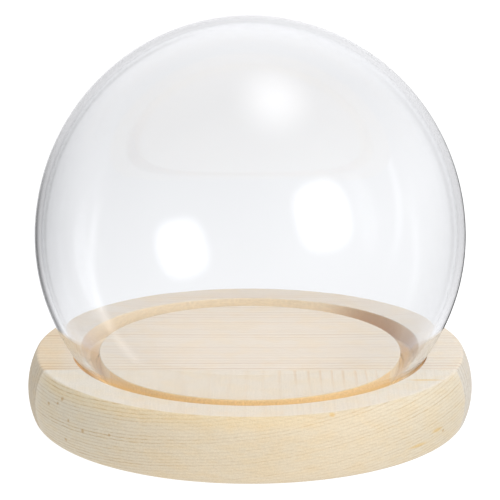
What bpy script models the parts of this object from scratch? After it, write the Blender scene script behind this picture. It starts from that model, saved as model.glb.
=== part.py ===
"""Bell jar dome: a blown glass dome that stands in the groove of a turned pine base.

The base is two pine boards glued edge to edge and turned as one disc. The glass lifts straight off.
Metres, +Z up, the front is -Y. The origin is the centre of the base's underside.
"""

import math

import bmesh
import bpy

# Glass dome, outside sizes. Below its widest line it is an ellipse with its own drop.
GLASS_RADIUS = 0.0600
CROWN_RISE = 0.0614
SKIRT_DROP = 0.0585
WIDEST_ABOVE_LIP = 0.0385
GLASS_WALL = 0.0020

# Base
BASE_THICKNESS = 0.0194
RIM_WIDTH = 0.0126          # from the groove to the widest line of the side
BELLY_DROP = 0.0098         # from the rim down to the widest line of the side
BELLY_ARC_RADIUS = 0.0207   # roundness of the barrel-shaped side, seen in section
TOP_EDGE_RADIUS = 0.00115
BOTTOM_EDGE_RADIUS = 0.00325
GROOVE_DEPTH = 0.0053
ARRIS = 0.0003              # the small chamfer along both edges of the groove
SEAM_FORWARD = 0.0180       # the glue line, in front of the centre

# Clearances
SEAT_GAP = 0.0003           # the lip above the groove's floor
RIM_CLEARANCE = 0.00046     # the glass inside the groove's outer wall, at the rim
PLATFORM_CLEARANCE = 0.0011  # the lip outside the platform
SEAM_GAP = 0.0003           # between the two boards

# Facets
TURNING_STEPS = 64
CROWN_STEPS = 12
SKIRT_STEPS = 7
LIP_STEPS = 5
BELLY_STEPS = 6
EDGE_STEPS = 4
MERGE_DISTANCE = 0.00001
SMOOTH_ANGLE = math.radians(40)

COLLECTION_NAME = "bell_jar_dome"
CUTTER_COLLECTION_NAME = "cutters"


# ---------------------------------------------------------------- scene helpers

def clear_scene():
    """Remove every object that the file already holds."""
    for old in list(bpy.data.objects):
        bpy.data.objects.remove(old, do_unlink=True)


def new_collection(name):
    """A collection of this name, linked to the scene."""
    collection = bpy.data.collections.new(name)
    bpy.context.scene.collection.children.link(collection)
    return collection


def plain_material(name, colour, roughness, alpha=1.0, transmission=0.0):
    """A Principled material of one colour."""
    material = bpy.data.materials.new(name)
    material.use_nodes = True
    shader = material.node_tree.nodes["Principled BSDF"]
    shader.inputs["Base Color"].default_value = (*colour, 1.0)
    shader.inputs["Roughness"].default_value = roughness
    shader.inputs["Metallic"].default_value = 0.0
    shader.inputs["Alpha"].default_value = alpha
    shader.inputs["Transmission Weight"].default_value = transmission
    return material


# ---------------------------------------------------------------- profiles

def arc(centre, radius, start, end, steps):
    """Points on an arc from the angle start to the angle end, both ends included."""
    points = []
    for index in range(steps + 1):
        angle = start + (end - start) * index / steps
        points.append((centre[0] + radius * math.cos(angle), centre[1] + radius * math.sin(angle)))
    return points


def glass_outside(angle):
    """The outer surface and its outward direction at an angle above the widest line.

    Heights count from the lowest point of the lip.
    """
    rise = CROWN_RISE if angle > 0 else SKIRT_DROP
    radius = GLASS_RADIUS * math.cos(angle)
    height = WIDEST_ABOVE_LIP + rise * math.sin(angle)
    direction = (math.cos(angle) / GLASS_RADIUS, math.sin(angle) / rise)
    length = math.hypot(*direction)
    return (radius, height), (direction[0] / length, direction[1] / length)


def inward(angle, distance):
    """The point this far inside the outer surface, along its own normal."""
    point, direction = glass_outside(angle)
    return (point[0] - direction[0] * distance, point[1] - direction[1] * distance)


def lip_angle():
    """The angle where the wall ends, so that its round lip reaches down to height 0."""
    low, high = -math.pi / 2, 0.0
    for _ in range(50):
        middle = (low + high) / 2
        if inward(middle, GLASS_WALL / 2)[1] > GLASS_WALL / 2:
            high = middle
        else:
            low = middle
    return (low + high) / 2


def glass_radius_at(height):
    """Outside radius of the glass below its widest line, at a height above the lip."""
    return GLASS_RADIUS * math.sqrt(1 - ((WIDEST_ABOVE_LIP - height) / SKIRT_DROP) ** 2)


def glass_profile():
    """Half section of the glass: down the outside, round the lip and up the inside."""
    last = lip_angle()
    angles = [math.pi / 2 * (1 - index / CROWN_STEPS) for index in range(CROWN_STEPS)]
    angles += [last * index / SKIRT_STEPS for index in range(SKIRT_STEPS + 1)]
    outside = [inward(angle, 0.0) for angle in angles]
    inside = [inward(angle, GLASS_WALL) for angle in reversed(angles)]
    outside[0] = (0.0, outside[0][1])
    inside[-1] = (0.0, inside[-1][1])
    direction = glass_outside(last)[1]
    start = math.atan2(direction[1], direction[0])
    lip = arc(inward(last, GLASS_WALL / 2), GLASS_WALL / 2, start, start - math.pi, LIP_STEPS)
    return outside + lip[1:-1] + inside


def groove_radius():
    """Outer wall of the groove, just outside the glass where that passes the rim."""
    return glass_radius_at(GROOVE_DEPTH - SEAT_GAP) + RIM_CLEARANCE


def platform_radius():
    """The platform, just inside the lip of the glass."""
    lip_centre = inward(lip_angle(), GLASS_WALL / 2)
    return lip_centre[0] - GLASS_WALL / 2 - PLATFORM_CLEARANCE


def base_radius():
    """The widest line of the base's side."""
    return groove_radius() + RIM_WIDTH


def edge_centre(height, edge_radius):
    """Centre of an edge's rounding that flows into the barrel-shaped side at this height."""
    side_centre = (base_radius() - BELLY_ARC_RADIUS, BASE_THICKNESS - BELLY_DROP)
    reach = BELLY_ARC_RADIUS - edge_radius
    rise = height - side_centre[1]
    return (side_centre[0] + math.sqrt(reach ** 2 - rise ** 2), height), math.asin(rise / reach)


def base_profile():
    """Half section of the base: platform, groove, rim, barrel-shaped side and underside."""
    top = BASE_THICKNESS
    floor = top - GROOVE_DEPTH
    groove = groove_radius()
    platform = platform_radius()
    top_centre, top_angle = edge_centre(top - TOP_EDGE_RADIUS, TOP_EDGE_RADIUS)
    bottom_centre, bottom_angle = edge_centre(BOTTOM_EDGE_RADIUS, BOTTOM_EDGE_RADIUS)
    side_centre = (base_radius() - BELLY_ARC_RADIUS, top - BELLY_DROP)
    top_edge = arc(top_centre, TOP_EDGE_RADIUS, math.pi / 2, top_angle, EDGE_STEPS)
    side = arc(side_centre, BELLY_ARC_RADIUS, top_angle, bottom_angle, BELLY_STEPS)
    bottom_edge = arc(bottom_centre, BOTTOM_EDGE_RADIUS, bottom_angle, -math.pi / 2, EDGE_STEPS)
    step = [
        (0.0, top),
        (platform - ARRIS, top),
        (platform, top - ARRIS),
        (platform, floor),
        (groove, floor),
        (groove, top - ARRIS),
        (groove + ARRIS, top),
    ]
    return step + top_edge + side[1:-1] + bottom_edge + [(0.0, 0.0)]


# ---------------------------------------------------------------- objects

def turned_object(name, profile, material, collection):
    """An object whose Screw modifier turns a half section once round the Z axis."""
    mesh = bpy.data.meshes.new(name)
    section = bmesh.new()
    corners = [section.verts.new((radius, 0.0, height)) for radius, height in profile]
    for first, second in zip(corners, corners[1:]):
        section.edges.new((first, second))
    section.to_mesh(mesh)
    section.free()
    turned = bpy.data.objects.new(name, mesh)
    collection.objects.link(turned)
    turned.data.materials.append(material)
    screw = turned.modifiers.new("turning", "SCREW")
    screw.axis = "Z"
    screw.angle = 2 * math.pi
    screw.steps = TURNING_STEPS
    screw.render_steps = TURNING_STEPS
    screw.use_merge_vertices = True
    screw.merge_threshold = MERGE_DISTANCE
    screw.use_smooth_shade = True
    return turned


def sharpen_edges(turned):
    """Turn the modifiers into the object's own mesh, smooth but for its sharp edges."""
    graph = bpy.context.evaluated_depsgraph_get()
    mesh = bpy.data.meshes.new_from_object(turned.evaluated_get(graph))
    mesh.name = turned.name
    turned.modifiers.clear()
    turned.data = mesh
    mesh.shade_smooth()
    mesh.set_sharp_from_angle(angle=SMOOTH_ANGLE)


def half_space_cutter(name, front_limit, back_limit, collection):
    """A box, wider and taller than the base, between two planes across it."""
    width = 3 * base_radius()
    height = 3 * BASE_THICKNESS
    bpy.ops.mesh.primitive_cube_add(size=1.0)
    cutter = bpy.context.active_object
    cutter.name = name
    cutter.scale = (width, back_limit - front_limit, height)
    cutter.location = (0.0, (front_limit + back_limit) / 2, BASE_THICKNESS / 2)
    for owner in list(cutter.users_collection):
        owner.objects.unlink(cutter)
    collection.objects.link(cutter)
    cutter.hide_render = True
    cutter.display_type = "WIRE"
    return cutter


def base_board(name, cutter, material, collection):
    """The turned base with the other board's side of the glue line cut away."""
    board = turned_object(name, base_profile(), material, collection)
    cut = board.modifiers.new("glue_line", "BOOLEAN")
    cut.operation = "DIFFERENCE"
    cut.solver = "EXACT"
    cut.object = cutter
    sharpen_edges(board)
    return board


def build_base(parts, cutters):
    """The two boards of the base, with the glue line between them."""
    reach = 2 * base_radius()
    front_side = half_space_cutter("front_side", -reach, -SEAM_FORWARD + SEAM_GAP / 2, cutters)
    back_side = half_space_cutter("back_side", -SEAM_FORWARD - SEAM_GAP / 2, reach, cutters)
    back_pine = plain_material("pine_back", (0.83, 0.73, 0.57), 0.62)
    front_pine = plain_material("pine_front", (0.81, 0.70, 0.52), 0.66)
    base_board("base_board_back", front_side, back_pine, parts)
    base_board("base_board_front", back_side, front_pine, parts)


def build_glass(parts):
    """The dome, with its origin on its lift axis at the lowest point of the lip."""
    glass = plain_material("clear_glass", (0.97, 0.98, 0.99), 0.02, alpha=0.25, transmission=1.0)
    dome = turned_object("glass_dome", glass_profile(), glass, parts)
    dome.location = (0.0, 0.0, BASE_THICKNESS - GROOVE_DEPTH + SEAT_GAP)
    sharpen_edges(dome)
    return dome


def main():
    clear_scene()
    parts = new_collection(COLLECTION_NAME)
    cutters = new_collection(CUTTER_COLLECTION_NAME)
    build_base(parts, cutters)
    build_glass(parts)


main()
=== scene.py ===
"""Bell jar dome: a clear blown glass dome standing in the groove of a turned pine base.

Laid out as a Blender add-on and run as a script. Metres, +Z up, the front is -Y, and the origin is
the centre of the base's underside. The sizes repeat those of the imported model, which is the frame.
"""

import math

import bmesh
import bpy
import numpy as np
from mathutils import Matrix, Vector


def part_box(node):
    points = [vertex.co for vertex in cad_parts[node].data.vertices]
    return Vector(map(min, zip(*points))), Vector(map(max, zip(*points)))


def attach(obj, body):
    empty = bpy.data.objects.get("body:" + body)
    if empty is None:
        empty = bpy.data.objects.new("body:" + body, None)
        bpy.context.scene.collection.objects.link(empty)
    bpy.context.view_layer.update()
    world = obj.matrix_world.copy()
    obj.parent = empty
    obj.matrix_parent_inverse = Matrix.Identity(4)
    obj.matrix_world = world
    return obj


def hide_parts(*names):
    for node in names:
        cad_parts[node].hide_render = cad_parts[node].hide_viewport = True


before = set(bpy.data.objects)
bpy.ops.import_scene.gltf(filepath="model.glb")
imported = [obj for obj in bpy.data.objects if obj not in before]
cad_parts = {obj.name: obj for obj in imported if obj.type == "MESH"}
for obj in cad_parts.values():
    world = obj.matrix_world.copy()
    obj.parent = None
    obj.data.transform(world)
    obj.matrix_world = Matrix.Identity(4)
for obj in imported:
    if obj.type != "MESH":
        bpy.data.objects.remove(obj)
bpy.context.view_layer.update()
GLASS_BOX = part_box("glass_dome")
BACK_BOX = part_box("base_board_back")
FRONT_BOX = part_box("base_board_front")

bl_info = {
    "name": "Bell Jar Dome",
    "version": (1, 0, 0),
    "blender": (4, 5, 0),
    "location": "3D View > Sidebar > Bell Jar",
    "description": "Builds a blown glass dome on a turned pine base, and a plain studio round it",
    "category": "Object",
}

SMOOTH_ANGLE = math.radians(32)
GRAIN_ALONG_X = np.array([1.0, 0.0, 0.0], dtype=np.float32)
GRAIN_ALONG_Y = np.array([0.0, 1.0, 0.0], dtype=np.float32)

# Facets
GLASS_TURNS = 360
CROWN_STEPS = 72
SKIRT_STEPS = 40
LIP_STEPS = 16
BOARD_TURNS = 720
FLOOR_TURNS = 96
FLOOR_RINGS = np.array([0.02, 0.1, 0.4, 1.0])   # shares of the floor's radius
FLOOR_DROP = 0.00002        # the floor lies this far below the underside
CREASE_RING = 0.0002        # an extra ring this near a crease keeps the shading flat beside it

# Small unevenness: how often round the axis, and how far
RIPPLE_WAVES = np.array([2, 3, 4, 5, 7, 9, 12, 16])
FIBRE_WAVES = np.arange(40, 330, 7)
FIBRE_HEIGHT = 0.000035
FIBRE_REACH = 0.0005        # from the edge of the groove to where the fibres lie flat
EDGE_MARGIN = 0.0001        # how far past the groove's sizes its surface may still lie


# ---------------------------------------------------------------- settings

def length(name, description, default):
    """A property in metres."""
    return bpy.props.FloatProperty(
        name=name, description=description, default=default, min=0.0, unit="LENGTH", precision=5)


def place(name, description, default):
    """A point in metres."""
    return bpy.props.FloatVectorProperty(
        name=name, description=description, default=default, size=3, subtype="TRANSLATION",
        unit="LENGTH", precision=4)


def colour(name, description, default):
    """A linear colour."""
    return bpy.props.FloatVectorProperty(
        name=name, description=description, default=default, size=3, subtype="COLOR",
        min=0.0, max=1.0)


def factor(name, description, default, high=1.0):
    """A plain number from 0 up."""
    return bpy.props.FloatProperty(
        name=name, description=description, default=default, min=0.0, max=high)


class GlassSettings(bpy.types.PropertyGroup):
    """Sizes and finish of the blown glass dome."""

    radius: length(
        "Radius", "Outside radius at the widest line", (GLASS_BOX[1].x - GLASS_BOX[0].x) / 2)
    crown_rise: length("Crown rise", "From the widest line up to the top", 0.0614)
    skirt_drop: length("Skirt drop", "Half height of the ellipse that shapes the skirt", 0.0585)
    wall: length("Wall", "Thickness of the glass", 0.0020)
    lip_height: length("Lip height", "Lowest point of the lip above the ground", GLASS_BOX[0].z)
    widest_above_lip: length("Widest above lip", "From the lip up to the widest line", 0.0385)
    ripple: length("Ripple", "Depth of the waves left in the wall by blowing", 0.000010)
    tint: colour("Tint", "Colour of the light that comes through", (0.968, 0.974, 0.985))


class BaseSettings(bpy.types.PropertyGroup):
    """Sizes of the turned base."""

    radius: length("Radius", "The widest line of the side", (BACK_BOX[1].x - BACK_BOX[0].x) / 2)
    thickness: length("Thickness", "From the underside up to the rim", BACK_BOX[1].z)
    rim_width: length("Rim width", "From the groove to the widest line", 0.0126)
    belly_drop: length("Belly drop", "From the rim down to the widest line", 0.0098)
    belly_arc: length("Belly arc", "Roundness of the side, seen in section", 0.0207)
    top_edge: length("Top edge", "Rounding between the rim and the side", 0.00115)
    bottom_edge: length("Bottom edge", "Rounding between the side and the underside", 0.00325)
    groove_depth: length("Groove depth", "Depth of the groove that takes the lip", 0.0053)
    groove_width: length("Groove width", "From the platform to the groove's outer wall", 0.00700)
    arris: length("Arris", "Sanded edge along both sides of the groove", 0.0003)
    seam: bpy.props.FloatProperty(
        name="Seam", description="The glue line, across the base", unit="LENGTH", precision=5,
        default=(FRONT_BOX[1].y + BACK_BOX[0].y) / 2)
    glue: length("Glue line", "Width of the joint between the boards", 0.00004)


class BackPineSettings(bpy.types.PropertyGroup):
    """Figure and colours of the larger board, whose grain runs left to right."""

    ring_spacing: length("Ring spacing", "Distance between growth rings", 0.0023)
    pith: place("Pith", "Centre of the rings: along, across and up", (0.0, 0.420, -0.060))
    pale: colour("Pale", "Early wood on a face along the grain", (0.755, 0.648, 0.520))
    line: colour("Line", "Late wood on a face along the grain", (0.580, 0.410, 0.280))
    end_pale: colour("End pale", "Early wood on the end grain", (0.625, 0.560, 0.470))
    end_line: colour("End line", "Late wood on the end grain", (0.450, 0.360, 0.270))
    # Partly painted light: the groove's cut-wood colour, raised so that its shaded walls look
    # brightly lit
    routed: colour("Routed", "Wood that the groove's cutter has burnished", (1.0, 0.834, 0.590))
    roughness: factor("Roughness", "Mean roughness of the sanded wood", 0.62)


class FrontPineSettings(bpy.types.PropertyGroup):
    """Figure and colours of the smaller board, whose grain runs front to back."""

    ring_spacing: length("Ring spacing", "Distance between growth rings", 0.00092)
    pith: place("Pith", "Centre of the rings: along, across and up", (0.0, -0.120, 1.0))
    pale: colour("Pale", "Early wood on a face along the grain", (0.735, 0.640, 0.518))
    line: colour("Line", "Late wood on a face along the grain", (0.650, 0.450, 0.260))
    end_pale: colour("End pale", "Early wood on the end grain", (0.672, 0.575, 0.425))
    end_line: colour("End line", "Late wood on the end grain", (0.460, 0.305, 0.155))
    # Partly painted light: the groove's cut-wood colour, raised so that its shaded walls look
    # brightly lit
    routed: colour("Routed", "Wood that the groove's cutter has burnished", (0.982, 0.722, 0.384))
    roughness: factor("Roughness", "Mean roughness of the sanded wood", 0.66)


class StudioSettings(bpy.types.PropertyGroup):
    """The plain floor, the soft lights and the camera."""

    floor_radius: length("Floor radius", "How far the floor reaches", 6.0)
    floor_glow: factor("Floor glow", "Light that the white floor gives of its own", 1.02, 10.0)
    floor_tone: colour("Floor tone", "Colour of the floor", (0.10, 0.10, 0.10))
    key_glow: factor("Key", "Brightness of the soft lamp at the front right", 5.5, 100.0)
    key_tone: colour("Key tone", "Colour of the lamp at the front right", (1.0, 0.985, 0.955))
    overhead_glow: factor("Overhead", "Brightness of the round lamp overhead", 6.2, 100.0)
    ambient: colour("Ambient", "Light of the room on the wood", (0.610, 0.630, 0.665))
    left_ambient: colour("Left ambient", "The same, coming from the left", (0.80, 0.86, 0.95))
    mirrored: factor("Mirrored room", "Brightness of the walls that the glass mirrors", 0.67, 10.0)
    camera_distance: length("Camera distance", "From the camera to the top of the base", 1.354)
    camera_height: bpy.props.FloatProperty(
        name="Camera height", description="Angle of the camera above the horizon",
        default=math.radians(17.41), subtype="ANGLE")
    camera_lens: bpy.props.FloatProperty(
        name="Lens", description="Focal length in millimetres", default=347.7, min=1.0)
    aim_above: length("Aim above", "From the base's top up to the middle of the view", 0.0282)


# ---------------------------------------------------------------- surfaces

def run(start, end, steps, crease_first=False, crease_last=False):
    """Points in a straight line, without the first one. A crease has an extra point beside it."""
    start, end = np.array(start), np.array(end)
    inset = CREASE_RING * (end - start) / np.linalg.norm(end - start)
    first = start + inset if crease_first else start
    last = end - inset if crease_last else end
    share = np.linspace(0.0, 1.0, steps + 1)[1:, None]
    points = [first[None]] if crease_first else []
    points.append(first * (1 - share) + last * share)
    return np.concatenate(points + ([end[None]] if crease_last else []))


def bend(centre, radius, start, end, steps):
    """Points on an arc from the angle start to the angle end, without the first one."""
    angle = np.linspace(start, end, steps + 1)[1:]
    return np.column_stack((centre[0] + radius * np.cos(angle), centre[1] + radius * np.sin(angle)))


def ring_quads(index):
    """Quads between rings of points, given their numbers, and each point's neighbour round."""
    after = np.roll(index, -1, axis=1)
    quads = np.stack((index[:-1], index[1:], after[1:], after[:-1]), axis=-1)
    return quads.reshape(-1, 4), after


def turned_mesh(name, profile, turns, offset):
    """Carry a half section round the Z axis.

    The point at place s of the section and turn a is (r(s) cos a, r(s) sin a, z(s)). offset moves
    each point by so much in r and z. The first and last points are on the axis and become poles.
    """
    angle = np.linspace(0.0, 2 * np.pi, turns, endpoint=False)
    rings = np.repeat(profile[1:-1, None, :], turns, axis=1) + offset(angle)
    radius, rise = rings[..., 0], rings[..., 1]
    points = np.stack((radius * np.cos(angle), radius * np.sin(angle), rise), axis=-1)
    poles = np.array([[0.0, 0.0, profile[0, 1]], [0.0, 0.0, profile[-1, 1]]])
    count = len(profile) - 2
    places = np.concatenate((points.reshape(-1, 3), poles))
    index = np.arange(count * turns).reshape(count, turns)
    quads, after = ring_quads(index)
    top = np.column_stack((np.full(turns, count * turns), index[0], after[0]))
    bottom = np.column_stack((np.full(turns, count * turns + 1), after[-1], index[-1]))
    corners = np.concatenate((quads.ravel(), top.ravel(), bottom.ravel())).astype(np.int32)
    sizes = np.concatenate((np.full(len(quads), 4), np.full(2 * turns, 3)))
    starts = np.concatenate(([0], np.cumsum(sizes)[:-1])).astype(np.int32)
    mesh = bpy.data.meshes.new(name)
    mesh.vertices.add(len(places))
    mesh.vertices.foreach_set("co", places.astype(np.float32).ravel())
    mesh.loops.add(len(corners))
    mesh.loops.foreach_set("vertex_index", corners)
    mesh.polygons.add(len(sizes))
    mesh.polygons.foreach_set("loop_start", starts)
    mesh.update(calc_edges=True)
    mesh.validate()
    mesh.shade_smooth()
    return mesh


def new_object(name, data):
    """An object at the origin, in the scene."""
    made = bpy.data.objects.new(name, data)
    bpy.context.scene.collection.objects.link(made)
    return made


def new_piece(mesh, material, body, node):
    """An object that stands for a CAD node and rides on its body."""
    piece = new_object(mesh.name, mesh)
    mesh.materials.append(material)
    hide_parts(node)
    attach(piece, body)
    return piece


# ---------------------------------------------------------------- glass

def glass_section(glass, angle, depth):
    """Points at a depth inside the outer surface, along its own normal.

    Outside, the point at an angle t above the widest line is (R cos t, h + b sin t), where b is the
    crown's rise above that line and the skirt's drop below it.
    """
    rise = np.where(angle > 0, glass.crown_rise, glass.skirt_drop)
    normal = np.column_stack((np.cos(angle) / glass.radius, np.sin(angle) / rise))
    normal /= np.linalg.norm(normal, axis=1)[:, None]
    outside = np.column_stack((
        glass.radius * np.cos(angle),
        glass.lip_height + glass.widest_above_lip + rise * np.sin(angle)))
    return outside - normal * depth, normal


def lip_angle(glass):
    """The angle at which the wall ends, so that its round lip reaches down to the lip height."""
    angle = np.linspace(-1.2, -0.1, 20001)
    middle = glass_section(glass, angle, glass.wall / 2)[0]
    return float(angle[np.argmin(np.abs(middle[:, 1] - glass.wall / 2 - glass.lip_height))])


def blown_ripple(normals, height, size, seed):
    """Waves in the wall, as long as the dome is high and narrow from side to side.

    The depth at turn a and height share s is the sum of cos(n a + p + q s) cos(m pi s + u) / n, for
    the whole numbers n and slow m, faded out towards the pole.
    """
    chance = np.random.default_rng(seed)
    count = len(RIPPLE_WAVES)
    phase = chance.uniform(0, 2 * np.pi, (2, count))
    twist = chance.uniform(-1.4, 1.4, count)
    slow = chance.uniform(0.3, 2.6, count)
    fade = np.clip(1.6 * np.abs(normals[:, 0]), 0, 1) ** 2

    def offset(angle):
        share = height[:, None, None]
        waves = np.cos(RIPPLE_WAVES * angle[None, :, None] + phase[0] + twist * share)
        waves = waves * np.cos(slow * np.pi * share + phase[1]) / RIPPLE_WAVES
        depth = size * waves.sum(axis=-1) * fade[:, None]
        return depth[..., None] * normals[:, None, :]

    return offset


def make_glass(glass):
    """The shell: outside from the top down, round the lip, and up the inside."""
    last = lip_angle(glass)
    crown = np.linspace(np.pi / 2, 0.0, CROWN_STEPS, endpoint=False)
    skirt = np.linspace(0.0, last, SKIRT_STEPS)
    angle = np.concatenate((crown, skirt))
    outside, outward = glass_section(glass, angle, 0.0)
    inside, _ = glass_section(glass, angle[::-1], glass.wall)
    outside[0, 0] = inside[-1, 0] = 0.0
    start = math.atan2(outward[-1, 1], outward[-1, 0])
    middle = glass_section(glass, np.array([last]), glass.wall / 2)[0][0]
    lip = bend(middle, glass.wall / 2, start, start - np.pi, LIP_STEPS)[:-1]
    lip_normal = (lip - middle) / (glass.wall / 2)
    profile = np.concatenate((outside, lip, inside))
    normals = np.concatenate((outward, lip_normal, -outward[::-1]))[1:-1]
    height = (profile[1:-1, 1] - glass.lip_height) / (glass.widest_above_lip + glass.crown_rise)
    outer = blown_ripple(normals, height, glass.ripple, seed=11)
    inner = blown_ripple(normals, height, glass.ripple, seed=29)
    is_outer = (np.arange(len(normals)) < len(outside) + len(lip) // 2)[:, None, None]

    def offset(around):
        return np.where(is_outer, outer(around), inner(around))

    return turned_mesh("blown_glass_dome", profile, GLASS_TURNS, offset)


# ---------------------------------------------------------------- base

def base_section(base):
    """Half section: platform, groove, rim, barrel-shaped side with rounded edges, underside."""
    top = base.thickness
    floor = top - base.groove_depth
    groove = base.radius - base.rim_width
    platform = groove - base.groove_width
    arris = base.arris
    quarter = math.pi / 2
    side_middle = (base.radius - base.belly_arc, top - base.belly_drop)

    def edge(height, radius):
        rise = height - side_middle[1]
        reach = base.belly_arc - radius
        return (side_middle[0] + math.sqrt(reach ** 2 - rise ** 2), height), math.asin(rise / reach)

    top_middle, top_angle = edge(top - base.top_edge, base.top_edge)
    low_middle, low_angle = edge(base.bottom_edge, base.bottom_edge)
    return np.concatenate((
        np.array([[0.0, top]]),
        run((0.0, top), (platform - arris, top), 12, crease_last=True),
        bend((platform - arris, top - arris), arris, quarter, 0.0, 4),
        run((platform, top - arris), (platform, floor), 6, crease_last=True),
        run((platform, floor), (groove, floor), 4, crease_first=True, crease_last=True),
        run((groove, floor), (groove, top - arris), 6, crease_first=True),
        bend((groove + arris, top - arris), arris, math.pi, quarter, 4),
        run((groove + arris, top), (top_middle[0], top), 6, crease_first=True, crease_last=True),
        bend(top_middle, base.top_edge, quarter, top_angle, 8),
        bend(side_middle, base.belly_arc, top_angle, low_angle, 26),
        bend(low_middle, base.bottom_edge, low_angle, -quarter, 10),
        run((low_middle[0], 0.0), (0.0, 0.0), 8, crease_first=True),
    ))


def torn_fibres(profile, base, seed):
    """Fibres that stand a little proud along the walls and edges of the groove.

    Above the groove's floor, points near its two walls move in r by the sum of cos(n a + p).
    """
    chance = np.random.default_rng(seed)
    count = len(FIBRE_WAVES)
    phase = chance.uniform(0, 2 * np.pi, count)
    groove = base.radius - base.rim_width
    rings = profile[1:-1]
    from_groove = rings[:, 0] - groove
    near = np.minimum(np.abs(from_groove), np.abs(from_groove + base.groove_width))
    above_floor = rings[:, 1] > base.thickness - base.groove_depth + FIBRE_REACH
    near = np.clip(1 - near / FIBRE_REACH, 0, 1) * above_floor

    def offset(angle):
        waves = np.cos(FIBRE_WAVES * angle[:, None] + phase).sum(axis=-1) / math.sqrt(count)
        moved = np.zeros((len(rings), len(angle), 2))
        moved[..., 0] = FIBRE_HEIGHT * near[:, None] * waves[None, :]
        return moved

    return offset


def cut_board(mesh, line, keep_back):
    """Keep one side of the glue line and close the cut."""
    board = bmesh.new()
    board.from_mesh(mesh)
    everything = board.verts[:] + board.edges[:] + board.faces[:]
    cut = bmesh.ops.bisect_plane(
        board, geom=everything, plane_co=(0.0, line, 0.0), plane_no=(0.0, 1.0, 0.0),
        clear_inner=keep_back, clear_outer=not keep_back)
    rim = [part for part in cut["geom_cut"] if isinstance(part, bmesh.types.BMEdge)]
    bmesh.ops.triangle_fill(board, edges=rim, use_beauty=True)
    bmesh.ops.recalc_face_normals(board, faces=board.faces[:])
    if any(len(edge.link_faces) != 2 for edge in board.edges):
        raise RuntimeError("the board isn't closed")
    board.to_mesh(mesh)
    board.free()
    mesh.shade_smooth()
    mesh.set_sharp_from_angle(angle=SMOOTH_ANGLE)


def mark_surfaces(mesh, grain, base):
    """Store what the material needs to know about each part of the surface.

    end_grain is how squarely the surface cuts the fibres, |normal . grain|, at each corner.
    routed is 1 on the walls and floor of the groove and 0 elsewhere, at each point.
    """
    normals = np.empty(len(mesh.loops) * 3, dtype=np.float32)
    mesh.corner_normals.foreach_get("vector", normals)
    amount = np.abs(normals.reshape(-1, 3) @ grain)
    mesh.attributes.new("end_grain", "FLOAT", "CORNER").data.foreach_set("value", amount)
    places = np.empty(len(mesh.vertices) * 3, dtype=np.float32)
    mesh.vertices.foreach_get("co", places)
    places = places.reshape(-1, 3)
    away = np.hypot(places[:, 0], places[:, 1])
    groove = base.radius - base.rim_width
    inside = (away > groove - base.groove_width - EDGE_MARGIN) & (away < groove + EDGE_MARGIN)
    inside &= places[:, 2] < base.thickness - base.arris / 2
    inside &= places[:, 2] > base.thickness - base.groove_depth - EDGE_MARGIN
    routed = mesh.attributes.new("routed", "FLOAT", "POINT")
    routed.data.foreach_set("value", inside.astype(np.float32))


def make_board(name, base, line, keep_back, grain, seed):
    """One board of the turned base, cut at the glue line."""
    profile = base_section(base)
    mesh = turned_mesh(name, profile, BOARD_TURNS, torn_fibres(profile, base, seed))
    cut_board(mesh, line, keep_back)
    mark_surfaces(mesh, grain, base)
    return mesh


# ---------------------------------------------------------------- node trees

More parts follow.
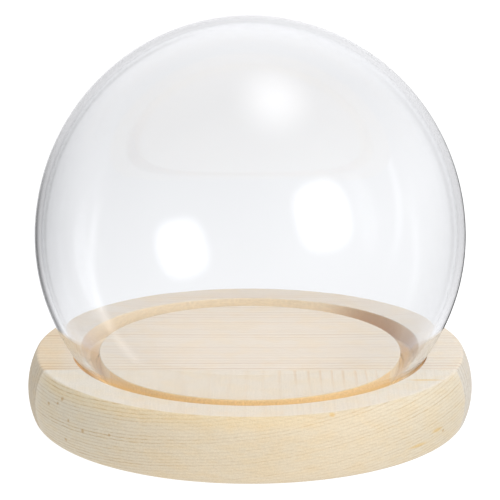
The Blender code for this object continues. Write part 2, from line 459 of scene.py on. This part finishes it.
class Tree:
    """Fills a node tree: a value for an input is either a number or another node's output."""

    def __init__(self, tree):
        self.tree = tree

    def feed(self, socket, value):
        if isinstance(value, bpy.types.NodeSocket):
            self.tree.links.new(value, socket)
        else:
            socket.default_value = value

    def node(self, kind, inputs=None, **settings):
        node = self.tree.nodes.new(kind)
        for name, value in settings.items():
            setattr(node, name, value)
        for name, value in (inputs or {}).items():
            self.feed(node.inputs[name], value)
        return node

    def math(self, operation, *values, clamp=False):
        node = self.node("ShaderNodeMath", operation=operation, use_clamp=clamp)
        for socket, value in zip(node.inputs, values):
            self.feed(socket, value)
        return node.outputs[0]

    def times(self, first, second, clamp=False):
        return self.math("MULTIPLY", first, second, clamp=clamp)

    def plus(self, first, second, clamp=False):
        return self.math("ADD", first, second, clamp=clamp)

    def linear(self, value, slope, start, clamp=False):
        """start + slope * value."""
        return self.math("MULTIPLY_ADD", value, slope, start, clamp=clamp)

    def vector(self, operation, first, second=None):
        node = self.node("ShaderNodeVectorMath", operation=operation)
        self.feed(node.inputs[0], first)
        if second is not None:
            self.feed(node.inputs[1], second)
        return node.outputs["Value" if operation in ("LENGTH", "DOT_PRODUCT") else "Vector"]

    def parts(self, vector):
        return self.node("ShaderNodeSeparateXYZ", {"Vector": vector}).outputs

    def xyz(self, x, y, z):
        return self.node("ShaderNodeCombineXYZ", {"X": x, "Y": y, "Z": z}).outputs[0]

    def rgb(self, red, green, blue):
        parts = {"Red": red, "Green": green, "Blue": blue}
        return self.node("ShaderNodeCombineColor", parts).outputs[0]

    def attribute(self, name):
        return self.node("ShaderNodeAttribute", attribute_name=name).outputs["Fac"]

    def mixed(self, share, first, second):
        """Two shaders, the second one's share being this much."""
        node = self.node("ShaderNodeMixShader", {"Fac": share})
        self.feed(node.inputs[1], first)
        self.feed(node.inputs[2], second)
        return node.outputs[0]

    def smooth(self, value, start, end, low=0.0, high=1.0):
        """low before start and high after end, with a smooth step between."""
        node = self.node(
            "ShaderNodeMapRange",
            {"Value": value, "From Min": start, "From Max": end, "To Min": low, "To Max": high},
            interpolation_type="SMOOTHSTEP")
        return node.outputs["Result"]

    def blend(self, share, first, second, how="MIX"):
        node = self.node("ShaderNodeMix", data_type="RGBA", blend_type=how)
        self.feed(node.inputs[0], share)
        self.feed(node.inputs[6], first)
        self.feed(node.inputs[7], second)
        return node.outputs[2]

    def noise(self, position, stretch, detail=2.0, rough=0.5):
        """Noise from 0 to 1, with about this many waves in a metre each way."""
        scaled = self.vector("MULTIPLY", position, stretch)
        inputs = {"Vector": scaled, "Scale": 1.0, "Detail": detail, "Roughness": rough}
        return self.node("ShaderNodeTexNoise", inputs).outputs["Fac"]

    def group(self, tree, inputs):
        node = self.tree.nodes.new("ShaderNodeGroup")
        node.node_tree = tree
        for name, value in inputs.items():
            self.feed(node.inputs[name], value)
        return node.outputs


def new_group(name, inputs, outputs):
    """An empty shader node group with named sockets, and its input and output nodes."""
    tree = bpy.data.node_groups.new(name, "ShaderNodeTree")
    for socket, kind in inputs.items():
        tree.interface.new_socket(name=socket, in_out="INPUT", socket_type=kind)
    for socket, kind in outputs.items():
        tree.interface.new_socket(name=socket, in_out="OUTPUT", socket_type=kind)
    made = Tree(tree)
    return made, made.node("NodeGroupInput").outputs, made.node("NodeGroupOutput").inputs


def opaque(rgb):
    """A colour with full alpha."""
    return (*rgb, 1.0)


def new_material(name):
    """A material with a bare tree and its output node."""
    material = bpy.data.materials.new(name)
    material.use_nodes = True
    material.node_tree.nodes.clear()
    tree = Tree(material.node_tree)
    return material, tree, tree.node("ShaderNodeOutputMaterial")


# ---------------------------------------------------------------- shared effects

# Noises in the wood, a metre: along the grain, across it and up
SLOW_WAVE = (7.0, 34.0, 34.0)
QUICK_WAVE = (45.0, 420.0, 420.0)
RAYS = (180.0, 1900.0, 120.0)
FIBRES = (70.0, 3300.0, 3300.0)
STREAKS = (13.0, 800.0, 800.0)
PATCHES = (7.0, 40.0, 40.0)
QUICK_WAVE_SHARE = 0.22

# Growth rings, as shares of a ring, and the power that leaves most rings faint
LATE_WOOD_FULL = 0.86
LATE_WOOD_ENDS = 0.90
FAINT_RINGS = 2.2


def growth_rings_group():
    """Growth rings round a straight pith.

    A ring's number is the distance from the pith over the spacing, plus slow noise. Each ring
    darkens outwards from Start and ends sharply. Rays run outwards from the pith.
    """
    floats = "NodeSocketFloat"
    tree, given, out = new_group(
        "growth_rings",
        {"Position": "NodeSocketVector", "Pith": "NodeSocketVector", "Spacing": floats,
         "Waviness": floats, "Start": floats},
        {"Late Wood": floats, "Ring Tone": floats, "Rays": floats})
    from_pith = tree.vector("SUBTRACT", given["Position"], given["Pith"])
    flat = tree.vector("MULTIPLY", from_pith, (0.0, 1.0, 1.0))
    distance = tree.vector("LENGTH", flat)
    slow = tree.noise(given["Position"], SLOW_WAVE, 1.0)
    quick = tree.noise(given["Position"], QUICK_WAVE, 1.0)
    quick = tree.times(tree.math("SUBTRACT", quick, 0.5), QUICK_WAVE_SHARE)
    wave = tree.plus(tree.math("SUBTRACT", slow, 0.5), quick)
    number = tree.math("DIVIDE", distance, given["Spacing"])
    number = tree.plus(number, tree.times(wave, given["Waviness"]))
    share = tree.math("FRACT", number)
    rise = tree.smooth(share, given["Start"], LATE_WOOD_FULL)
    end = tree.smooth(share, LATE_WOOD_ENDS, 1.0)
    tree.feed(out["Late Wood"], tree.times(rise, tree.math("SUBTRACT", 1.0, end)))
    ring = {"W": tree.math("FLOOR", number)}
    tone = tree.node("ShaderNodeTexWhiteNoise", ring, noise_dimensions="1D").outputs["Value"]
    tree.feed(out["Ring Tone"], tree.math("POWER", tone, FAINT_RINGS))
    parts = tree.parts(from_pith)
    turn = tree.times(tree.math("ARCTAN2", parts["Y"], parts["Z"]), distance)
    polar = tree.xyz(parts["X"], turn, distance)
    tree.feed(out["Rays"], tree.smooth(tree.noise(polar, RAYS), 0.38, 0.68))
    return tree.tree


def wood_fibres_group():
    """Fine fibres, longer streaks and broad patches, all drawn out along the grain."""
    floats = "NodeSocketFloat"
    tree, given, out = new_group(
        "wood_fibres", {"Position": "NodeSocketVector"},
        {"Fine": floats, "Streak": floats, "Patch": floats})
    position = given["Position"]
    tree.feed(out["Fine"], tree.smooth(tree.noise(position, FIBRES, 2.0, 0.6), 0.25, 0.75))
    tree.feed(out["Streak"], tree.smooth(tree.noise(position, STREAKS), 0.30, 0.70))
    tree.feed(out["Patch"], tree.smooth(tree.noise(position, PATCHES, 1.0), 0.30, 0.70))
    return tree.tree


def small_mark_group():
    """A soft spot: 1 in the middle of an oval of this place and size, and 0 outside it."""
    tree, given, out = new_group(
        "small_mark",
        {"Position": "NodeSocketVector", "Middle": "NodeSocketVector", "Size": "NodeSocketVector"},
        {"Mask": "NodeSocketFloat"})
    away = tree.vector("SUBTRACT", given["Position"], given["Middle"])
    oval = tree.vector("LENGTH", tree.vector("DIVIDE", away, given["Size"]))
    tree.feed(out["Mask"], tree.smooth(oval, 0.25, 1.0, 1.0, 0.0))
    return tree.tree


def shared(name, maker):
    """A node group that is built once and placed in each material."""
    return bpy.data.node_groups.get(name) or maker()


# ---------------------------------------------------------------- materials

# Noises over both boards, a metre: along X, Y and Z
BLOTCHES = (150.0, 150.0, 420.0)
GRIT = (2300.0, 2300.0, 2300.0)
DUST = (1900.0, 1900.0, 1900.0)
END_PORES = (300.0, 900.0, 900.0)
END_GRAINS = (700.0, 60.0, 1500.0)
STEEP_PITH = (0.0, -0.045, 0.26)    # metres: along, across and up

# What the marks multiply the wood's colour by
BLOTCH_TINT = (1.02, 0.965, 0.86)
OUTER_TINT = (0.965, 1.0, 1.045)
# Painted shade: darkens the groove's wood where it lies in shade
GROOVE_SHADE_TINT = (0.74, 0.58, 0.42)
LEFT_RIM_TINT = (0.955, 0.875, 0.745)
GOLD_TINT = (1.04, 0.985, 0.86)
AMBER_TINT = (1.0, 0.86, 0.60)
RESIN_TINT = (0.80, 0.67, 0.52)
DUST_SHADE = 0.82
RAISED_GRAIN = 0.00005      # metres

CLEAR = (0.988, 0.990, 0.992)       # what each side of the glass lets through, straight on

# Small marks on the wood: the middle and the size of each, in metres
# Painted shade in the groove, at the back right and at both ends, where it lies in shade
GROOVE_SHADE_PLACES = (
    ((0.036, 0.030, 0.0165), (0.022, 0.022, 0.012)),
    ((0.046, 0.004, 0.0150), (0.012, 0.026, 0.010)),
    ((-0.047, -0.002, 0.0150), (0.012, 0.026, 0.010)),
)
RESIN_SPECKS = (
    ((-0.0514, -0.0332, 0.0159), (0.0010, 0.0010, 0.0008)),
    ((-0.0527, -0.0320, 0.0143), (0.0008, 0.0008, 0.0006)),
    ((-0.0554, -0.0278, 0.0129), (0.0010, 0.0012, 0.0006)),
    ((-0.0497, -0.0374, 0.0111), (0.0007, 0.0007, 0.0006)),
    ((-0.0456, -0.0423, 0.0097), (0.0009, 0.0009, 0.0008)),
    ((-0.0382, -0.0491, 0.0108), (0.0007, 0.0007, 0.0006)),
    ((-0.0505, -0.0355, 0.0050), (0.0009, 0.0009, 0.0007)),
    ((0.0530, -0.0321, 0.0065), (0.0007, 0.0009, 0.0006)),
)
AMBER_MARKS = (
    ((0.0221, -0.0558, 0.0188), (0.0013, 0.0010, 0.0010)),
    ((0.0482, -0.0270, 0.0194), (0.0065, 0.0011, 0.0020)),
    ((0.0505, -0.0345, 0.0076), (0.0040, 0.0040, 0.0009)),
    ((0.0455, -0.0410, 0.0052), (0.0050, 0.0050, 0.0008)),
)


def grain_position(tree, grain):
    """Object coordinates turned into along, across and up for a board of this grain."""
    place = tree.node("ShaderNodeTexCoord").outputs["Object"]
    parts = tree.parts(place)
    along, across = ("X", "Y") if grain == "X" else ("Y", "X")
    return place, parts, tree.xyz(parts[along], parts[across], parts["Z"])


def rings_round(tree, position, pith, pine, waviness, start):
    """Growth rings of this board round a pith."""
    return tree.group(shared("growth_rings", growth_rings_group), {
        "Position": position, "Pith": pith, "Spacing": pine.ring_spacing, "Waviness": waviness,
        "Start": start})


def fibres_along(tree, position):
    """Fibres, streaks and patches of a board."""
    return tree.group(shared("wood_fibres", wood_fibres_group), {"Position": position})


def tinted(tree, colour, amount, tint):
    """The colour, multiplied by a tint where amount is 1."""
    return tree.blend(amount, colour, opaque(tint), "MULTIPLY")


def spots(tree, place, marks):
    """The strongest of several small marks, each a middle and a size."""
    total = None
    for middle, size in marks:
        mask = tree.group(shared("small_mark", small_mark_group), {
            "Position": place, "Middle": middle, "Size": size})["Mask"]
        total = mask if total is None else tree.math("MAXIMUM", total, mask)
    return total


def pine_finish(tree, output, pine, place, wood, line, fibres):
    """Fine shading, warm blotches, the routed groove with its painted light and painted shade, the
    raised grain and the sanded surface.
    """
    blotch = tree.smooth(tree.noise(place, BLOTCHES), 0.42, 0.66)
    wood = tinted(tree, wood, tree.times(blotch, 0.50), BLOTCH_TINT)
    outer = tree.smooth(tree.math("ABSOLUTE", tree.parts(place)["X"]), 0.020, 0.052)
    wood = tinted(tree, wood, outer, OUTER_TINT)
    grit = tree.smooth(tree.noise(place, GRIT, 1.0), 0.25, 0.75)
    fine = tree.linear(fibres["Fine"], 0.070, 0.965)
    patch = tree.linear(fibres["Patch"], 0.030, 0.985)
    shade = tree.times(tree.times(fine, patch), tree.linear(grit, 0.080, 0.960))
    wood = tree.blend(1.0, wood, tree.rgb(shade, shade, shade), "MULTIPLY")
    dust = tree.smooth(tree.noise(place, DUST, 2.0, 0.7), 0.30, 0.72)
    # The groove's cut wood, with dust specks; its colour is raised as painted light
    dusty = [DUST_SHADE * part for part in pine.routed]
    cut_with_painted_light_and_shade = tree.blend(dust, opaque(dusty), opaque(pine.routed))
    # Painted shade on the groove's wood at the back right and at both ends
    cut_with_painted_light_and_shade = tinted(tree, cut_with_painted_light_and_shade, spots(tree, place, GROOVE_SHADE_PLACES), GROOVE_SHADE_TINT)
    wood = tree.blend(tree.attribute("routed"), wood, cut_with_painted_light_and_shade)
    height = tree.plus(tree.times(line, 0.5), tree.times(fibres["Fine"], 0.6))
    bump = tree.node("ShaderNodeBump", {
        "Height": height, "Strength": 0.35, "Distance": RAISED_GRAIN})
    surface = tree.node("ShaderNodeBsdfPrincipled", {
        "Base Color": wood, "Roughness": tree.linear(fibres["Fine"], 0.10, pine.roughness - 0.05),
        "Specular IOR Level": 0.30, "Normal": bump.outputs[0]})
    tree.feed(output.inputs["Surface"], surface.outputs[0])


def back_pine_material(pine):
    """Quarter-sawn pine, grain left to right: fine lines along the top and a warm left rim."""
    material, tree, output = new_material("pine_left_to_right")
    place, parts, position = grain_position(tree, "X")
    rings = rings_round(tree, position, pine.pith, pine, 1.2, 0.50)
    fibres = fibres_along(tree, position)
    end = tree.smooth(tree.attribute("end_grain"), 0.30, 0.85)
    left_rim = tree.smooth(parts["X"], -0.0445, -0.0560)
    line = tree.times(rings["Late Wood"], tree.linear(rings["Ring Tone"], 0.70, 0.30))
    along = tree.times(line, tree.linear(fibres["Streak"], 0.45, 0.28), clamp=True)
    along = tree.plus(along, tree.times(tree.times(line, left_rim), 0.35), clamp=True)
    face = tree.blend(along, opaque(pine.pale), opaque(pine.line))
    streaks = tree.smooth(fibres["Streak"], 0.35, 0.95, 0.0, 0.10)
    face = tree.blend(streaks, face, opaque(pine.line))
    pores = tree.smooth(tree.noise(place, END_PORES, 2.0, 0.7), 0.42, 0.70)
    across = tree.linear(pores, 0.38, tree.times(line, 0.45), clamp=True)
    cut = tree.blend(across, opaque(pine.end_pale), opaque(pine.end_line))
    wood = tinted(tree, tree.blend(end, face, cut), left_rim, LEFT_RIM_TINT)
    pine_finish(tree, output, pine, place, wood, line, fibres)
    return material


def faint_arcs(tree, position, parts, pine, fibres):
    """Faint steep rings on the top, plainest beside the glue line on the right."""
    steep = rings_round(tree, position, STEEP_PITH, pine, 1.7, 0.66)
    right = tree.times(
        tree.smooth(parts["X"], 0.002, 0.012), tree.smooth(parts["X"], 0.040, 0.030))
    plain = tree.times(right, tree.smooth(parts["Y"], -0.034, -0.021))
    plain = tree.times(plain, tree.linear(fibres["Patch"], 0.5, 0.5))
    return tree.times(steep["Late Wood"], tree.linear(plain, 0.42, 0.09))


def side_rings(tree, place, parts, line):
    """The rings across the side, broken into short grains and darker towards both ends."""
    grains = tree.smooth(tree.noise(place, END_GRAINS, 2.0, 0.6), 0.30, 0.66)
    left = tree.smooth(parts["X"], -0.006, -0.040, 0.0, 0.43)
    right = tree.smooth(parts["X"], 0.012, 0.048, 0.0, 0.30)
    strength = tree.plus(tree.plus(left, right), 0.34)
    return tree.times(tree.times(line, tree.linear(grains, 0.80, 0.35)), strength, clamp=True)


def front_pine_material(pine):
    """Flat-sawn pine, grain front to back: rings across the side, faint arcs and lines on top."""
    material, tree, output = new_material("pine_front_to_back")
    place, parts, position = grain_position(tree, "Y")
    rings = rings_round(tree, position, pine.pith, pine, 1.6, 0.50)
    fibres = fibres_along(tree, position)
    end = tree.smooth(tree.attribute("end_grain"), 0.10, 0.40)
    line = tree.times(rings["Late Wood"], tree.linear(rings["Ring Tone"], 0.60, 0.40))
    along = faint_arcs(tree, position, parts, pine, fibres)
    face = tree.blend(along, opaque(pine.pale), opaque(pine.line))
    across = side_rings(tree, place, parts, line)
    cut = tree.blend(across, opaque(pine.end_pale), opaque(pine.end_line))
    cut = tree.blend(tree.times(rings["Rays"], 0.16), cut, opaque(pine.end_line))
    upper = tree.smooth(parts["Z"], 0.0150, 0.0175)
    gold = tree.times(upper, tree.smooth(parts["X"], 0.030, 0.004))
    cut = tinted(tree, cut, tree.times(gold, 0.8), GOLD_TINT)
    wood = tree.blend(end, face, cut)
    wood = tinted(tree, wood, spots(tree, place, AMBER_MARKS), AMBER_TINT)
    wood = tinted(tree, wood, spots(tree, place, RESIN_SPECKS), RESIN_TINT)
    pine_finish(tree, output, pine, place, wood, line, fibres)
    return material


def glass_material(glass):
    """Clear glass. Shadow rays and light on its way to the wood pass straight through."""
    material, tree, output = new_material("clear_blown_glass")
    glassy = tree.node("ShaderNodeBsdfPrincipled", {
        "Base Color": opaque(glass.tint), "Roughness": 0.0, "IOR": 1.50,
        "Transmission Weight": 1.0}).outputs[0]
    clear = tree.node("ShaderNodeBsdfTransparent", {"Color": opaque(CLEAR)}).outputs[0]
    path = tree.node("ShaderNodeLightPath").outputs
    surface = tree.mixed(path["Is Diffuse Ray"], glassy, clear)
    tree.feed(output.inputs["Surface"], tree.mixed(path["Is Shadow Ray"], surface, clear))
    return material


# ---------------------------------------------------------------- studio

WHITE = (1.0, 1.0, 1.0)

# Lamps, in metres
LAMP_AIM = (0.0, 0.0, 0.02)
KEY_PLACE = (0.474, -0.607, 0.380)
KEY_SIZE = 0.40
OVERHEAD_PLACE = (0.16, 0.0, 0.92)
OVERHEAD_SIZE = 0.45

# The backdrop seen through the glass: its white at one level, the rise towards the right, and the
# fall upwards, for directions of length 1
BACKDROP_WHITE = 0.97
BACKDROP_SLOPE = 0.94
BACKDROP_LEVEL = 0.2616
BACKDROP_FALL = 1.9
MIRRORED_BLUE = 1.02


def make_floor(studio):
    """A wide white disc under the base, lit partly by its own glow.

    The room has its own white for what is seen by way of the glass, so those rays pass the floor.
    """
    angle = np.linspace(0.0, 2 * np.pi, FLOOR_TURNS, endpoint=False)
    rings = studio.floor_radius * FLOOR_RINGS[:, None]
    level = np.full((len(FLOOR_RINGS), FLOOR_TURNS), -FLOOR_DROP)
    points = np.stack((rings * np.cos(angle), rings * np.sin(angle), level), axis=-1)
    index = np.arange(level.size).reshape(level.shape)
    quads, _ = ring_quads(index)
    mesh = bpy.data.meshes.new("studio_floor")
    mesh.from_pydata(points.reshape(-1, 3).tolist(), [], quads.tolist() + [index[0].tolist()])
    floor = new_object("studio_floor", mesh)
    material, tree, output = new_material("studio_white")
    white = tree.node("ShaderNodeBsdfPrincipled", {
        "Base Color": opaque(studio.floor_tone), "Roughness": 0.9, "Specular IOR Level": 0.0,
        "Emission Color": opaque(WHITE), "Emission Strength": studio.floor_glow}).outputs[0]
    passed = tree.node("ShaderNodeBsdfTransparent").outputs[0]
    tree.feed(output.inputs["Surface"], tree.mixed(glass_rays(tree), white, passed))
    mesh.materials.append(material)


def glass_rays(tree):
    """1 for a ray that has met the glass, and 0 straight from the camera or from the wood."""
    path = tree.node("ShaderNodeLightPath").outputs
    met = tree.plus(path["Glossy Depth"], path["Transmission Depth"], clamp=True)
    return tree.times(met, tree.math("SUBTRACT", 1.0, path["Is Diffuse Ray"]))


def mirrored_rays(tree):
    """1 for a ray that the glass has mirrored on its way, and 0 for one on its way to the wood."""
    path = tree.node("ShaderNodeLightPath").outputs
    mirrored = tree.math("GREATER_THAN", path["Glossy Depth"], 0.5)
    return tree.times(mirrored, tree.math("SUBTRACT", 1.0, path["Is Diffuse Ray"]))


def soft_lamp(name, place, size, glow, shape, tone):
    """An area light of this brightness, aimed at the base, which the glass doesn't mirror."""
    light = bpy.data.lights.new(name, "AREA")
    light.shape = shape
    light.size = size
    light.color = tone
    area = size ** 2 * (math.pi / 4 if shape == "DISK" else 1.0)
    light.energy = glow * math.pi * area
    lamp = new_object(name, light)
    lamp.location = place
    lamp.rotation_euler = (Vector(LAMP_AIM) - Vector(place)).to_track_quat("-Z", "Y").to_euler()
    lamp.visible_camera = False
    lamp.visible_glossy = False
    lamp.visible_transmission = False


def lamp_glow_group():
    """A soft lamp far away.

    It is 1 within a rounded box of directions round the middle, and fades to 0 across its edge.
    The box's radius is (|a / w|^p + |b / h|^p)^(1 / p), for a and b across and up from the middle.
    """
    floats, arrow = "NodeSocketFloat", "NodeSocketVector"
    tree, given, out = new_group(
        "lamp_glow",
        {"Direction": arrow, "Middle": arrow, "Across": arrow, "Up": arrow, "Half Width": floats,
         "Half Height": floats, "Squareness": floats, "Inner": floats, "Outer": floats},
        {"Glow": floats})

    def side(axis, half):
        reach = tree.math("ABSOLUTE", tree.vector("DOT_PRODUCT", given["Direction"], given[axis]))
        return tree.math("POWER", tree.math("DIVIDE", reach, given[half]), given["Squareness"])

    total = tree.plus(side("Across", "Half Width"), side("Up", "Half Height"))
    radius = tree.math("POWER", total, tree.math("DIVIDE", 1.0, given["Squareness"]))
    ahead = tree.vector("DOT_PRODUCT", given["Direction"], given["Middle"])
    facing = tree.math("GREATER_THAN", ahead, 0.0)
    fade = tree.smooth(radius, given["Inner"], given["Outer"], 1.0, 0.0)
    tree.feed(out["Glow"], tree.times(fade, facing))
    return tree.tree


def lamp_glow(tree, direction, azimuth, elevation, half_size, squareness, inner, outer):
    """A lamp at an azimuth from the front towards +X and an elevation, in degrees."""
    turn, rise = math.radians(azimuth), math.radians(elevation)
    middle = (math.sin(turn) * math.cos(rise), -math.cos(turn) * math.cos(rise), math.sin(rise))
    across = (math.cos(turn), math.sin(turn), 0.0)
    up = (-math.sin(turn) * math.sin(rise), math.cos(turn) * math.sin(rise), math.cos(rise))
    return tree.group(shared("lamp_glow", lamp_glow_group), {
        "Direction": direction, "Middle": middle, "Across": across, "Up": up,
        "Half Width": math.sin(math.radians(half_size[0])),
        "Half Height": math.sin(math.radians(half_size[1])),
        "Squareness": squareness, "Inner": inner, "Outer": outer})["Glow"]


# What the glass mirrors besides plain walls: azimuth from the front towards +X and elevation, half
# width and half height, all in degrees, then squareness, the edge's inner and outer radius, and
# brightness. A dark place has a brightness below 0.
ROOM_LIGHTS = (
    ("square lamp", (42.5, 20.5), (12.5, 13.5), 2.6, 0.55, 1.50, 5.0),
    ("overhead lamp", (91.0, 79.6), (13.5, 10.0), 2.0, 0.0, 2.10, 1.95),
    ("wall beyond, low", (180.0, -42.0), (65.0, 33.0), 2.0, 0.0, 1.0, 0.80),
    ("wall beyond, level", (180.0, -17.0), (11.0, 20.0), 2.0, 0.6, 1.4, 0.25),
    ("wall beyond, middle", (178.0, 8.0), (50.0, 38.0), 2.0, 0.2, 1.0, 0.26),
    ("wall beyond, high", (180.0, 58.0), (55.0, 45.0), 2.0, 0.0, 1.0, 0.50),
    ("wall beyond, right", (128.0, 35.0), (50.0, 50.0), 2.0, 0.0, 1.0, 0.22),
    ("right", (112.0, -8.0), (50.0, 55.0), 2.0, 0.0, 1.0, 0.42),
    ("right front", (45.0, 20.0), (60.0, 60.0), 2.0, 0.0, 1.0, 0.30),
    ("floor in front", (0.0, -55.0), (75.0, 45.0), 2.0, 0.35, 1.0, 0.55),
    ("strip at the left", (-93.0, -24.0), (2.6, 30.0), 4.0, 0.5, 1.5, 0.70),
    ("strip at the right", (99.0, -10.0), (3.0, 16.0), 4.0, 0.4, 1.6, 0.30),
    ("dark corner at the left", (-130.0, -4.0), (42.0, 34.0), 2.0, 0.0, 1.0, -0.42),
    ("dark gap at the left", (-163.5, -20.0), (7.0, 12.0), 2.5, 0.3, 1.25, -0.60),
    ("dark gap at the right", (172.0, -20.5), (5.0, 10.5), 2.5, 0.35, 1.25, -1.40),
    ("dark gap overhead", (-175.0, 0.0), (19.0, 19.0), 2.0, 0.1, 1.0, -0.13),
)


def mirrored_room(tree, studio, direction):
    """Plain walls, plus every soft light and darker place of the room that the glass mirrors."""
    total = studio.mirrored
    for _, (azimuth, elevation), half_size, squareness, inner, outer, glow in ROOM_LIGHTS:
        lamp = lamp_glow(tree, direction, azimuth, elevation, half_size, squareness, inner, outer)
        total = tree.linear(lamp, glow, total)
    total = tree.math("MAXIMUM", total, 0.0)
    cool = tree.times(total, MIRRORED_BLUE)
    return tree.rgb(total, total, cool)


def seen_through(tree, direction):
    """The backdrop behind the glass: white, and a little greyer up and to the left."""
    parts = tree.parts(direction)
    white = tree.linear(parts["X"], BACKDROP_SLOPE, BACKDROP_WHITE)
    above = tree.plus(parts["Z"], BACKDROP_LEVEL)
    white = tree.linear(above, -BACKDROP_FALL, white)
    white = tree.math("MINIMUM", tree.math("MAXIMUM", white, 0.90), 1.03)
    return tree.rgb(white, white, white)


def make_world(studio):
    """White to the camera and through the glass, even for the wood, and a studio in the mirror."""
    world = bpy.data.worlds.new("studio_room")
    world.use_nodes = True
    world.node_tree.nodes.clear()
    tree = Tree(world.node_tree)
    path = tree.node("ShaderNodeLightPath").outputs
    direction = tree.node("ShaderNodeTexCoord").outputs["Generated"]
    left = tree.smooth(tree.parts(direction)["X"], -0.1, -0.8)
    ambient = tree.blend(left, opaque(studio.ambient), opaque(studio.left_ambient))
    seen = tree.blend(glass_rays(tree), opaque(WHITE), seen_through(tree, direction))
    seen = tree.blend(path["Is Diffuse Ray"], seen, ambient)
    seen = tree.blend(mirrored_rays(tree), seen, mirrored_room(tree, studio, direction))
    background = tree.node("ShaderNodeBackground", {"Color": seen, "Strength": 1.0})
    output = tree.node("ShaderNodeOutputWorld")
    tree.feed(output.inputs["Surface"], background.outputs[0])
    bpy.context.scene.world = world


def make_camera(studio, base):
    """A long lens in front, a little above the object."""
    rise = studio.camera_height
    target = Vector((0.0, 0.0, base.thickness))
    up = Vector((0.0, math.sin(rise), math.cos(rise)))
    place = target + Vector((0.0, -math.cos(rise), math.sin(rise))) * studio.camera_distance
    aim = target + up * studio.aim_above
    lens = bpy.data.cameras.new("studio_camera")
    lens.lens = studio.camera_lens
    lens.sensor_width = 36.0
    lens.clip_start = 0.05
    lens.clip_end = 50.0
    camera = new_object("studio_camera", lens)
    camera.location = place
    camera.rotation_euler = (aim - place).to_track_quat("-Z", "Y").to_euler()
    bpy.context.scene.camera = camera


# ---------------------------------------------------------------- operators

class BELLJAR_OT_back_board(bpy.types.Operator):
    """Turn the larger pine board, with the grain from left to right"""

    bl_idname = "bell_jar.back_board"
    bl_label = "Back board"

    def execute(self, context):
        base, pine = context.scene.bell_jar_base, context.scene.bell_jar_back_pine
        line = base.seam + base.glue / 2
        mesh = make_board("pine_board_back", base, line, True, GRAIN_ALONG_X, seed=5)
        material = back_pine_material(pine)
        new_piece(mesh, material, "base", "base_board_back")
        return {"FINISHED"}


class BELLJAR_OT_front_board(bpy.types.Operator):
    """Turn the smaller pine board, with the grain from front to back"""

    bl_idname = "bell_jar.front_board"
    bl_label = "Front board"

    def execute(self, context):
        base, pine = context.scene.bell_jar_base, context.scene.bell_jar_front_pine
        line = base.seam - base.glue / 2
        mesh = make_board("pine_board_front", base, line, False, GRAIN_ALONG_Y, seed=6)
        material = front_pine_material(pine)
        new_piece(mesh, material, "base", "base_board_front")
        return {"FINISHED"}


class BELLJAR_OT_glass_dome(bpy.types.Operator):
    """Blow the glass dome, standing in the groove"""

    bl_idname = "bell_jar.glass_dome"
    bl_label = "Glass dome"

    def execute(self, context):
        glass = context.scene.bell_jar_glass
        new_piece(make_glass(glass), glass_material(glass), "dome", "glass_dome")
        return {"FINISHED"}


class BELLJAR_OT_stage(bpy.types.Operator):
    """Set the floor, the lights, the room and the camera"""

    bl_idname = "bell_jar.stage"
    bl_label = "Stage"

    def execute(self, context):
        studio = context.scene.bell_jar_studio
        make_floor(studio)
        soft_lamp("key_lamp", KEY_PLACE, KEY_SIZE, studio.key_glow, "SQUARE", studio.key_tone)
        soft_lamp(
            "overhead_lamp", OVERHEAD_PLACE, OVERHEAD_SIZE, studio.overhead_glow, "DISK", WHITE)
        make_world(studio)
        make_camera(studio, context.scene.bell_jar_base)
        context.scene.view_settings.view_transform = "Standard"
        return {"FINISHED"}


class BELLJAR_PT_sidebar(bpy.types.Panel):
    """The pieces of the bell jar, in the order in which they are made"""

    bl_label = "Bell Jar"
    bl_idname = "BELLJAR_PT_sidebar"
    bl_space_type = "VIEW_3D"
    bl_region_type = "UI"
    bl_category = "Bell Jar"

    def draw(self, context):
        layout = self.layout
        for name, settings in SETTINGS.items():
            box = layout.box()
            group = getattr(context.scene, name)
            for field in settings.__annotations__:
                box.prop(group, field)
        for operator in OPERATORS:
            layout.operator(operator.bl_idname)


SETTINGS = {
    "bell_jar_glass": GlassSettings,
    "bell_jar_base": BaseSettings,
    "bell_jar_back_pine": BackPineSettings,
    "bell_jar_front_pine": FrontPineSettings,
    "bell_jar_studio": StudioSettings,
}
OPERATORS = (BELLJAR_OT_back_board, BELLJAR_OT_front_board, BELLJAR_OT_glass_dome, BELLJAR_OT_stage)


def register():
    for settings in SETTINGS.values():
        bpy.utils.register_class(settings)
    for name, settings in SETTINGS.items():
        setattr(bpy.types.Scene, name, bpy.props.PointerProperty(type=settings))
    for operator in OPERATORS:
        bpy.utils.register_class(operator)
    bpy.utils.register_class(BELLJAR_PT_sidebar)


def unregister():
    bpy.utils.unregister_class(BELLJAR_PT_sidebar)
    for operator in reversed(OPERATORS):
        bpy.utils.unregister_class(operator)
    for name in SETTINGS:
        delattr(bpy.types.Scene, name)
    for settings in reversed(SETTINGS.values()):
        bpy.utils.unregister_class(settings)


def main():
    """Make every piece and the stage."""
    register()
    bpy.ops.bell_jar.back_board()
    bpy.ops.bell_jar.front_board()
    bpy.ops.bell_jar.glass_dome()
    bpy.ops.bell_jar.stage()


if __name__ == "__main__":
    main()
